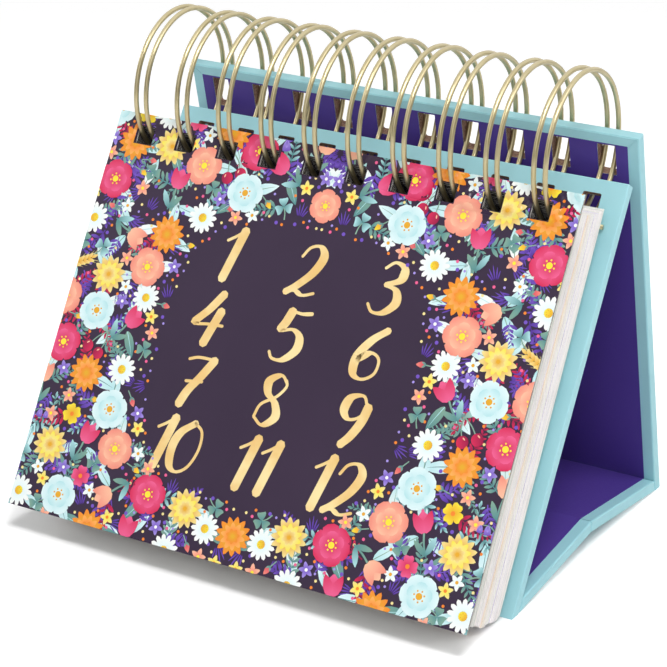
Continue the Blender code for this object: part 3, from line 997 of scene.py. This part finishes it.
@drawn
def daisy(mark):
    """A white daisy with a yellow middle."""
    mark.ring(13, 5, 0.8, 3.3, 1.35, "white", "ice", foot=0.2, points=8)
    mark.disc((0.0, 0.0), 1.15, "yellow", "amber", points=12)
    mark.ring(6, 0, 0.45, 0.34, 0.34, "amber", foot=0.0, points=5)


@drawn
def tulip(mark, outer, inner):
    """A tulip from the side, with its stem and two blades."""
    mark.stroke([(0.0, -5.6, 0.35), (0.3, -2.5, 0.5), (0.0, 0.5, 0.5)], "sage", "teal")
    mark.petal((0.1, -5.2), 128, 5.2, 1.7, "aqua", "teal", foot=0.3, head=0.4)
    mark.petal((0.2, -5.2), 58, 4.8, 1.6, "sage", "teal", foot=0.3, head=0.4)
    mark.petal((0.0, 0.0), 90, 5.4, 3.6, inner, outer, foot=0.15, head=0.3)
    mark.petal((-0.2, 0.0), 113, 5.6, 2.7, outer, inner, foot=0.1, head=0.4)
    mark.petal((0.2, 0.0), 67, 5.6, 2.7, outer, inner, foot=0.1, head=0.4)


@drawn
def bluebells(mark):
    """A bent stem with four hanging bells."""
    mark.stroke([(-2.6, -5.0, 0.4), (-1.6, -0.5, 0.42), (0.6, 3.4, 0.34), (3.4, 4.2, 0.2)], "sage", "teal")
    mark.petal((-2.4, -4.2), 74, 4.6, 1.3, "teal", "sage", foot=0.3, head=0.5)
    bells = ((3.5, 4.1, -78, 0.8), (1.7, 4.0, -88, 0.95), (-0.1, 2.7, -98, 1.1), (-1.1, 0.7, -104, 1.2))
    for x, y, turn, size in bells:
        mark.petal((x, y), turn, 2.5 * size, 2.0 * size, "violet", "lilac", foot=0.0, head=-0.35, points=12)
        mark.petal((x, y - 0.1), turn, 1.6 * size, 0.7 * size, "lilac", "violet", foot=0.3, points=8)


@drawn
def cherries(mark):
    """A pair of cherries on forked stalks, with a leaf."""
    mark.stroke([(-1.7, -2.0, 0.3), (-0.9, 1.2, 0.32), (0.6, 3.8, 0.4)], "sage")
    mark.stroke([(2.1, -1.6, 0.3), (1.8, 1.2, 0.32), (0.6, 3.8, 0.4)], "sage")
    mark.petal((0.5, 3.7), 168, 4.0, 1.8, "aqua", "sage", foot=0.3, head=0.4)
    for x, y in ((-1.8, -2.6), (2.1, -2.3)):
        mark.disc((x, y), 1.65, "raspberry", "wine", points=14)
        mark.petal((x - 0.8, y + 0.3), 60, 1.0, 0.42, "peach", foot=0.0, points=6)


@drawn
def fern(mark, leaf, vein, pairs=7, length=11.0):
    """A bent frond with pairs of leaflets that get smaller towards its tip."""

    def spine(share):
        return Vector((length * share, 1.5 * math.sin(share * 2.2) - 0.4 * share, 0.0))

    line = [(*spine(step / 4).xy, 0.36 - 0.26 * step / 4) for step in range(5)]
    mark.stroke(line, vein)
    for number in range(pairs):
        share = 0.14 + 0.78 * number / (pairs - 1)
        place = spine(share)
        size = (1 - 0.62 * share) * 3.3
        for side in (-1, 1):
            mark.petal(place.xy, side * (58 - 18 * share) + 12, size, size * 0.36, leaf, vein, **LEAFLET)
    mark.petal(spine(0.96).xy, -8, 1.6, 0.7, leaf, vein, **LEAFLET)


@drawn
def wheat(mark):
    """An ear of wheat with its beards."""
    mark.stroke([(-6.2, -0.9, 0.2), (-2.5, -0.2, 0.3), (4.2, 0.2, 0.2)], "amber")
    for number in range(5):
        x = -1.8 + 1.35 * number
        for side in (-1, 1):
            mark.stroke([(x + 1.2, side * 0.8, 0.14), (x + 3.0, side * 1.75, 0.05)], "straw", steps=2)
    for number in range(5):
        x = -2.4 + 1.35 * number
        for side in (-1, 1):
            mark.petal((x, side * 0.1), side * 30, 2.2, 1.12, "straw", "amber", foot=0.1, head=0.3, points=8)
    mark.petal((4.1, 0.1), 4, 2.2, 1.0, "straw", "amber", foot=0.1, head=0.3, points=8)


@drawn
def leaf(mark, tip, base, vein):
    """A broad leaf with its middle vein."""
    mark.petal((0.0, 0.0), 0, 8.5, 3.1, tip, base, foot=0.2, head=0.45, points=14)
    mark.stroke([(0.2, 0.0, 0.26), (4.25, 0.12, 0.18), (7.31, 0.0, 0.05)], vein, steps=3)


@drawn
def clover(mark, tip, base):
    """A three-part leaf on a short stalk."""
    mark.stroke([(0.0, -3.4, 0.4), (0.25, -1.6, 0.32), (0.0, 0.0, 0.3)], "sage", steps=3)
    for turn in (90, 200, 340):
        mark.petal((0.0, 0.0), turn, 2.7, 2.7, tip, base, foot=0.5, head=-0.1, notch=0.22, points=14)


@drawn
def buttercup(mark, tip, base):
    """A small flower of four notched petals."""
    mark.ring(4, 45, 0.1, 2.9, 2.9, tip, base, foot=0.35, notch=0.16, points=12)
    mark.disc((0.0, 0.0), 0.62, "orange", points=8)


@drawn
def star_flower(mark, tip, base, heart):
    """A tiny flower of five pointed petals."""
    mark.ring(5, 18, 0.0, 2.3, 1.35, tip, base, foot=0.2, head=0.35, points=8)
    mark.disc((0.0, 0.0), 0.5, heart, points=7)


@drawn
def bud(mark, tip, base):
    """A closed bud on a stalk, with two sepals."""
    mark.stroke([(-2.6, -0.4, 0.3), (0.0, 0.0, 0.34)], "sage", steps=3)
    mark.petal((-0.4, 0.0), 0, 2.9, 1.7, tip, base, foot=0.0, head=0.35)
    for side in (-1, 1):
        mark.petal((-0.5, 0.0), side * 30, 1.5, 0.62, "sage", "teal", **LEAFLET)


@drawn
def grass(mark, tip, base):
    """A tuft of five thin blades."""
    for turn, length in ((62, 2.6), (76, 3.6), (90, 4.2), (104, 3.5), (118, 2.5)):
        mark.petal(((turn - 90) / -40, -1.6), turn, length, 0.42, tip, base, foot=0.0, head=0.35, points=8)


@drawn
def dot(mark, colour, radius):
    mark.disc((0.0, 0.0), radius, colour, points=9)


BIG_MARKS = [
    peony("coral", "peach", "yellow"),
    dahlia("orange", "apricot", "amber"),
    peony("raspberry", "pink", "yellow"),
    dahlia("straw", "yellow", "amber"),
    daisy(),
    tulip("coral", "peach"),
    peony("ice", "aqua", "amber"),
    tulip("raspberry", "pink"),
]
MIDDLE_MARKS = [
    daisy(),
    bluebells(),
    buttercup("yellow", "amber"),
    cherries(),
    star_flower("peach", "coral", "yellow"),
    wheat(),
    clover("aqua", "teal"),
    buttercup("pink", "raspberry"),
]
SMALL_MARKS = [
    star_flower("straw", "yellow", "orange"),
    bud("coral", "raspberry"),
    clover("sage", "teal"),
    star_flower("peach", "coral", "yellow"),
    bud("yellow", "orange"),
    star_flower("white", "ice", "amber"),
    star_flower("lilac", "violet", "white"),
    grass("violet", "purple"),
]
LEAF_MARKS = [
    leaf("aqua", "ice", "teal"),
    leaf("ice", "white", "aqua"),
    leaf("aqua", "white", "sage"),
    fern("sage", "teal"),
    leaf("teal", "sage", "aqua"),
    fern("raspberry", "wine"),
    leaf("ice", "aqua", "sage"),
    fern("aqua", "teal", 6),
]
SPRIG_MARKS = [fern("purple", "violet", 5, 6.0), fern("violet", "purple", 4, 5.0), grass("violet", "purple")]
DOT_MARKS = [dot("violet", 0.5), dot("straw", 0.38), dot("pink", 0.42), dot("lilac", 0.34), dot("orange", 0.4)]


class Sheet:
    """A printed sheet made of marks. Its middle is at the origin, in millimetres."""

    def __init__(self):
        self.form = bmesh.new()
        self.form.loops.layers.float_color.new("ink")
        self.taken = []
        self.count = 0

    def stamp(self, mark, x, y, turn=0.0, size=1.0, floor=0.0, mirror=True):
        """Prints a mark, and its mirror image on the other side of the middle."""
        for side in (1, -1) if mirror else (1,):
            self.count += 1
            copy = mark.copy()
            flip = Matrix.Diagonal((side, 1.0, 1.0, 1.0))
            lift = floor + (self.count % 5) * 0.0011
            spin = Matrix.Rotation(math.radians(turn), 4, "Z")
            copy.transform(flip @ Matrix.Translation((x, y, lift)) @ spin @ Matrix.Diagonal((size, size, 1.0, 1.0)))
            self.form.from_mesh(copy)
            bpy.data.meshes.remove(copy)

    def free(self, x, y, radius):
        near = ((x - u) ** 2 + (y - v) ** 2 < (radius + r) ** 2 for u, v, r in self.taken)
        return not any(near) and (abs(x) > radius * 0.9 or x == 0.0)

    def take(self, x, y, radius):
        self.taken += [(x, y, radius), (-x, y, radius)]

    def cut_round(self, half_width, low, high, openings):
        """Trims the print at the sheet's edges and takes it out of the openings, (left, right, low, high) each."""
        edges = [((half_width, 0, 0), (1, 0, 0)), ((-half_width, 0, 0), (-1, 0, 0))]
        edges += [((0, low, 0), (0, -1, 0)), ((0, high, 0), (0, 1, 0))]
        for point, normal in edges:
            bmesh.ops.bisect_plane(
                self.form,
                geom=[*self.form.verts, *self.form.edges, *self.form.faces],
                dist=1e-6,
                plane_co=point,
                plane_no=normal,
                clear_outer=True,
            )
        for left, right, bottom, top in openings:
            faces = [f for f in self.form.faces if self.meets(f, left, right, bottom, top)]
            for point, normal in (((left, 0, 0), (1, 0, 0)), ((right, 0, 0), (1, 0, 0)), ((0, bottom, 0), (0, 1, 0))):
                faces = list(slice_faces(self.form, faces, point, normal)) if faces else []
            faces = list(slice_faces(self.form, faces, (0, top, 0), (0, 1, 0))) if faces else []
            gone = []
            for face in faces:
                middle = face.calc_center_bounds()
                if left < middle.x < right and bottom < middle.y < top:
                    gone.append(face)
            bmesh.ops.delete(self.form, geom=gone, context="FACES")

    def meets(self, face, left, right, bottom, top):
        across = [vert.co.x for vert in face.verts]
        up = [vert.co.y for vert in face.verts]
        return min(across) < right and max(across) > left and min(up) < top and max(up) > bottom

    def printed(self, name, depth, middle, look, body, slot):
        """Lays the print on the sheet, a hair in front of it, and turns every shape to face the reader."""
        self.form.normal_update()
        bmesh.ops.reverse_faces(self.form, faces=[face for face in self.form.faces if face.normal.z < 0])
        lay = Matrix(((0.001, 0, 0, 0), (0, 0, -0.001, -depth - 0.00001), (0, 0.001, 0, middle), (0, 0, 0, 1)))
        finish_piece(self.form, name, FRONT @ lay, [look], body, ())


COVER_HALF = 1000 * COVER_WIDTH / 2
COVER_HALF_UP = 1000 * (COVER_TOP - COVER_LOW) / 2
HOLE_ROW = [1000 * (level - COVER_MIDDLE) for level in COVER_HOLES]
OPEN_MIDDLE = -3.0
OPEN_HALF = 36.0
OPEN_HALF_UP = 35.0


def in_border(x, y, radius):
    """Whether a round mark lies in the border, outside the plain field in the middle."""
    across = abs(x) / (OPEN_HALF + radius)
    up = abs(y - OPEN_MIDDLE) / (OPEN_HALF_UP + radius)
    return across**3.2 + up**3.2 >= 1.0


def scatter(sheet, marks, radius, tries, floor, size, leaves=0, reach=1.0):
    """Prints marks wherever there is room for them, each kind as far from its like as can be."""
    printed = []
    for number in range(tries):
        x = random.uniform(-COVER_HALF - 1.0, 0.0)
        y = random.uniform(-COVER_HALF_UP - 1.0, COVER_HALF_UP + 1.0)
        if not in_border(x, y, radius * reach) or not sheet.free(x, y, radius):
            continue
        sheet.take(x, y, radius)
        turn = random.uniform(0, 360)
        for leaf_number in range(leaves):
            way = turn + 360 * leaf_number / leaves + random.uniform(-22, 22)
            ahead = Vector((math.cos(math.radians(way)), math.sin(math.radians(way))))
            tip = Vector((x, y)) + ahead * 9.0
            if in_border(*tip, 0.0):
                at = Vector((x, y)) + ahead * radius * 0.35
                sheet.stamp(random.choice(LEAF_MARKS), *at, way, size * random.uniform(0.8, 1.0), 0.0)
        upright = random.uniform(-28, 28) if number % 2 else turn

        def room(kind):
            away = [math.hypot(x - u, y - v) for other, u, v in printed if other == kind]
            return min(away or [random.uniform(50, 99)])

        kind = max(range(len(marks)), key=room)
        printed += [(kind, x, y), (kind, -x, y)]
        sheet.stamp(marks[kind], x, y, upright, size, floor)


def cover_print():
    """A dense border of flowers and leaves round a plain field, the same on both sides."""
    random.seed(23)
    sheet = Sheet()
    sheet.take(0.0, 38.6, 4.4)
    sheet.stamp(BIG_MARKS[0], 0.0, 38.6, 90, 0.86, 0.13, False)
    sheet.take(0.0, -46.0, 5.2)
    sheet.stamp(BIG_MARKS[1], 0.0, -46.0, 90, 1.0, 0.13, False)
    for _ in range(110):
        x, y = random.uniform(-COVER_HALF, 0.0), random.uniform(-COVER_HALF_UP, COVER_HALF_UP)
        if in_border(x, y, 5.0):
            sheet.stamp(random.choice(SPRIG_MARKS), x, y, random.uniform(0, 360), random.uniform(0.8, 1.1))
    scatter(sheet, BIG_MARKS, 4.7, 1200, 0.13, 1.02, 3)
    scatter(sheet, MIDDLE_MARKS, 3.0, 3000, 0.09, 0.98, 1, 1.35)
    scatter(sheet, SMALL_MARKS, 1.7, 6000, 0.05, 0.92)
    scatter(sheet, DOT_MARKS, 0.8, 7000, 0.03, 1.0, 0, 0.0)
    holes = []
    left, right = hole_walls(COVER_FAR)
    for place in LOOPS:
        walls = (1000 * (place + left) - 0.2, 1000 * (place + right) + 0.2)
        holes.append((*walls, HOLE_ROW[0] - 0.2, HOLE_ROW[1] + 0.2))
    sheet.cut_round(COVER_HALF - 0.02, -COVER_HALF_UP + 0.02, COVER_HALF_UP - 0.02, holes)
    sheet.printed("cover_flower_print", COVER_FAR, COVER_MIDDLE, COVER_INK, "front_cover", "aubergine_card")


cover_print()

# Each digit's brush strokes, as points in hundredths of its height
DIGIT_STROKES = {
    "0": ("30,100  6,76  0,45  10,10  30,0  50,15  58,50  50,85  28,100",),
    "1": (
        "2,76  18,88  32,102",
        "32,102  28,50  24,0",
    ),
    "2": (
        "5,75  15,95  35,100  50,82  42,50  20,20  0,2",
        "0,2  18,8  38,2  60,10",
    ),
    "3": (
        "6,86  22,100  44,92  46,70  20,55",
        "20,55  45,48  55,25  38,3  15,0  0,14",
    ),
    "4": (
        "38,100  20,65  0,34  30,36  62,38",
        "47,66  41,30  36,-3",
    ),
    "5": (
        "56,99  35,95  14,97",
        "14,97  10,75  6,56  30,62  50,50  54,25  35,2  12,0  0,12",
    ),
    "6": ("45,100  20,75  4,40  10,8  32,0  52,15  50,42  30,52  8,36",),
    "7": (
        "0,90  20,97  56,98",
        "56,98  40,60  25,30  18,0",
        "12,47  48,52",
    ),
    "8": (
        "45,88  28,100  8,85  15,62  38,45  50,20  30,0  6,12",
        "6,12  10,38  35,58  47,80  42,93",
    ),
    "9": (
        "48,78  32,98  8,90  4,65  20,50  40,58  50,80",
        "50,80  48,50  38,20  25,0",
    ),
}
DIGITS = {
    digit: [[tuple(int(part) / 100 for part in point.split(",")) for point in row.split()] for row in rows]
    for digit, rows in DIGIT_STROKES.items()
}
DIGIT_WIDTHS = {"1": 0.36, "0": 0.6, "4": 0.62, "7": 0.58}


def figure(text, height, colour, thin=0.06, thick=0.19):
    """Brush-drawn figures with their middle at the origin: thick where the brush comes down, with round ends."""
    mark = Mark()
    gap = 0.13
    widths = [DIGIT_WIDTHS.get(digit, 0.55) for digit in text]
    start = -(sum(widths) + gap * (len(text) - 1)) / 2
    for digit, width in zip(text, widths):
        for points in DIGITS[digit]:
            line = smooth_line([Vector((start + x, y - 0.5, 0.0)) for x, y in points], 7)
            drawn = []
            for number, point in enumerate(line):
                ahead = line[min(number + 1, len(line) - 1)] - line[max(number - 1, 0)]
                down = max(0.0, -ahead.normalized().y)
                brush = thin + (thick - thin) * down**1.3
                drawn.append(((point.x + 0.16 * point.y) * height, point.y * height, brush * height))
            for before, after in ((0, 1), (-1, -2)):
                out = Vector(drawn[before][:2]) - Vector(drawn[after][:2])
                tip = Vector(drawn[before][:2]) + out.normalized() * drawn[before][2] * 0.34
                end = (*tip, drawn[before][2] * 0.45)
                drawn = [end, *drawn] if before == 0 else [*drawn, end]
            mark.last = None
            mark.stroke(drawn, colour, steps=1)
        start += width + gap
    return mark.finished()


def cover_figures():
    """The numbers of the months in pale gold, in the plain field."""
    sheet = Sheet()
    for number in range(12):
        row, column = divmod(number, 3)
        mark = figure(str(number + 1), 13.0, "straw")
        sheet.stamp(mark, (column - 1) * 23.0, OPEN_MIDDLE + 24.9 - 16.6 * row, 0.0, 1.0, 0.02, False)
    sheet.printed("cover_gold_figures", COVER_FAR, COVER_MIDDLE, FOIL, "front_cover", "aubergine_card")


cover_figures()


# Leaf prints


def leaf_print(name, depth, number, band, line, body):
    """A plain dated leaf: a pastel band, a thin frame, a big number and a few small flowers in its corners."""
    sheet = Sheet()
    lines = Mark()
    lines.stroke([(-48.0, 33.0, 8.0), (48.0, 33.0, 8.0)], band, steps=1)
    for low, high in (((-54.0, 40.0), (54.0, 40.0)), ((-54.0, -44.0), (54.0, -44.0))):
        lines.stroke([(*low, 0.4), (*high, 0.4)], line, steps=1)
    for x in (-54.0, 54.0):
        lines.stroke([(x, -44.0, 0.4), (x, 40.0, 0.4)], line, steps=1)
    for y in (-24.0, -31.0, -38.0):
        lines.stroke([(-34.0, y, 0.25), (34.0, y, 0.25)], band, steps=1)
    sheet.stamp(lines.finished(), 0.0, 0.0, mirror=False)
    sheet.stamp(figure(str(number), 34.0, line, 0.05, 0.14), 0.0, 2.0, mirror=False)
    for mark, x, y, turn, size in (
        (LEAF_MARKS[0], 44.0, -38.0, 150, 0.9),
        (LEAF_MARKS[1], 46.0, -34.0, 105, 0.9),
        (BIG_MARKS[number % 4], 48.0, -38.0, 20, 1.0),
        (SMALL_MARKS[number % 8], 39.0, -40.0, 0, 1.0),
        (MIDDLE_MARKS[0], 49.0, 34.0, 0, 0.9),
        (SMALL_MARKS[(number + 3) % 8], 44.5, 35.5, 0, 0.9),
    ):
        sheet.stamp(mark, x, y, turn, size)
    sheet.printed(name, depth, leaf_top(depth) - LEAF_HEIGHT / 2, LEAF_INK, body, "page_paper")


leaf_print("first_loose_leaf_print", LEAF_NEAR + LEADING_LEAF - 0.00001, 1, "peach", "teal", "leading_leaf")
PRINTED_PACKS = (
    (1, 2, "aqua", "raspberry"),
    (4, 3, "lilac", "teal"),
    (7, 4, "straw", "violet"),
    (10, 5, "pink", "teal"),
)
for month, number, band, line in PRINTED_PACKS:
    front = BLOCK_START + (PACK_COUNT - month + 1) * PACK_PITCH - PACK_GAP / 4
    leaf_print(f"leaf_print_{month:02d}", front, number, band, line, QUARTERS[(month - 1) // 3])


# Stage


class Room(Finish):
    """The surround's nodes, added by the same method as a material's."""

    def __init__(self, name):
        world = bpy.data.worlds.new(name)
        world.use_nodes = True
        bpy.context.scene.world = world
        self.tree = world.node_tree
        self.shader = self.tree.nodes["Background"]


def white_floor():
    """White floor. A little way off the foot it glows white for the camera, and near the foot it keeps the shadow."""
    finish = Finish("white_floor", 0.9, specular_ior_level=0.0, emission_strength=1.0)
    point = finish.node("ShaderNodeTexCoord", output="Object")
    beyond = []
    for axis, middle, half in (("X", -0.003, 0.065), ("Y", 0.0012, 0.0538)):
        along = finish.node("ShaderNodeSeparateXYZ", None, {"Vector": point}, axis)
        beyond.append(((along - middle).maths("ABSOLUTE") - half).maths("MAXIMUM", 0.0))
    away = (beyond[0] * beyond[0] + beyond[1] * beyond[1]).maths("SQRT")
    seen = finish.node("ShaderNodeLightPath", output="Is Camera Ray")
    finish.surface(base_color=(0.9, 0.9, 0.9), emission_color=away.above(0.0018, 0.0018) * seen * 0.3)
    return finish.material


def stage():
    """A white floor and a white surround, as on a light table in a studio that is dimmer behind the camera."""
    form = bmesh.new()
    bmesh.ops.create_grid(form, x_segments=1, y_segments=1, size=3.0)
    mesh = bpy.data.meshes.new("floor")
    form.to_mesh(mesh)
    form.free()
    floor = bpy.data.objects.new("floor", mesh)
    bpy.context.scene.collection.objects.link(floor)
    mesh.materials.append(white_floor())

    room = Room("soft_white_room")
    way = room.node("ShaderNodeTexCoord", output="Generated")
    ahead = room.node("ShaderNodeVectorMath", {"operation": "DOT_PRODUCT"}, {0: way, 1: (-0.5, 0.84, 0.2)}, "Value")
    backdrop = ahead.above(0.0, 0.3) * 0.85 + 0.15
    level = 0.48
    rays = [room.node("ShaderNodeLightPath", output=f"Is {kind} Ray") for kind in ("Camera", "Transmission", "Glossy")]
    strength = (rays[0] + rays[1]) * (1 - level) + rays[2] * (backdrop - level) + level
    room.surface(strength=strength, color=(1.0, 1.0, 1.0))


def soft_box(name, place, target, size, power):
    light = bpy.data.lights.new(name, "AREA")
    light.shape = "RECTANGLE"
    light.size, light.size_y = size
    light.energy = power
    lamp = bpy.data.objects.new(name, light)
    bpy.context.scene.collection.objects.link(lamp)
    lamp.location = place
    aim = Vector(target) - Vector(place)
    lamp.rotation_euler = aim.to_track_quat("-Z", "Y").to_euler()


def camera():
    azimuth = math.radians(30.80)
    elevation = math.radians(21.64)
    roll = math.radians(0.41)
    lens = bpy.data.cameras.new("photo_camera")
    lens.sensor_width = 36.0
    lens.lens = 127.29
    lens.clip_start = 0.01
    eye = bpy.data.objects.new("photo_camera", lens)
    bpy.context.scene.collection.objects.link(eye)
    level = Matrix.Rotation(azimuth, 4, "Z") @ Matrix.Rotation(math.pi / 2 - elevation, 4, "X")
    eye.matrix_world = Matrix.Translation((0.28601, -0.48551, 0.27346)) @ level @ Matrix.Rotation(roll, 4, "Z")
    bpy.context.scene.camera = eye


stage()
camera()
soft_box("overhead_light", (0.42, -0.48, 1.10), (0.0, 0.0, 0.05), (0.32, 0.32), 6.2)
soft_box("front_light", (0.25, -0.90, 0.50), (0.0, 0.0, 0.05), (0.8, 0.6), 1.6)
soft_box("side_light", (0.80, 0.10, 0.75), (0.0, 0.0, 0.05), (0.6, 0.6), 2.8)
soft_box("window_light", (-1.00, -0.40, 0.70), (0.0, 0.0, 0.06), (0.3, 0.3), 1.7)
bpy.context.scene.view_settings.view_transform = "Standard"
